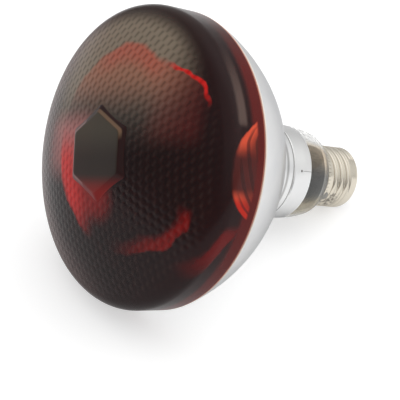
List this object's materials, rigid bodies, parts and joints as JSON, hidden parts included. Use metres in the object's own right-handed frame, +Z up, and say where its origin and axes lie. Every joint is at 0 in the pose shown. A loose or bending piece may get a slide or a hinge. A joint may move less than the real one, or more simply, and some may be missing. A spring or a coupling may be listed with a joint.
{
  "type": "infrared heat lamp bulb",
  "caption": "Infrared heat lamp bulb: beaded ruby lens with a bare hexagon, fused to a silvered glass reflector with a clear-ended neck, inner stem and coil, and a rolled screw cap.",
  "frame": {"origin": "middle of the footprint's bounding box, on the table that the lamp lies on", "axes": "+X along the table from the lens towards the screw cap, +Z up; the lamp's own axis lies in the plane y = 0, tilted 26.0 degrees so that the lens looks up and the cap is low"},
  "size_m": [0.1374, 0.122, 0.1157],
  "materials": {
    "ruby_glass": "clear ruby, beaded outside",
    "silvered_glass": "satin silver seen through clear glass; clear without silver at the cap end of the neck",
    "clear_glass": "clear",
    "cap_metal": "nickel-plated, satin",
    "contact_metal": "bright",
    "solder": "dull grey solder",
    "black_glass": "opaque black, glossy",
    "cement": "baked cement, matt",
    "wire_metal": "drawn nickel wire",
    "coil_metal": "grey tungsten",
    "shield_metal": "plain sheet"
  },
  "bodies": {
    "root": {"lens": "ruby_glass", "reflector": "silvered_glass", "stem": "clear_glass", "exhaust_tube": "clear_glass", "support_rod": "clear_glass", "heat_shield": "shield_metal", "filament": "coil_metal", "filament_hook_left": "wire_metal", "filament_hook_middle": "wire_metal", "filament_hook_right": "wire_metal", "lead_wire_left": "wire_metal", "lead_wire_right": "wire_metal", "outer_lead_centre": "wire_metal", "outer_lead_rim": "wire_metal", "basing_cement": "cement", "cap_shell": "cap_metal", "cap_insulator": "black_glass", "centre_contact": "contact_metal", "contact_solder": "solder", "side_solder": "solder"}
  },
  "joints": []
}
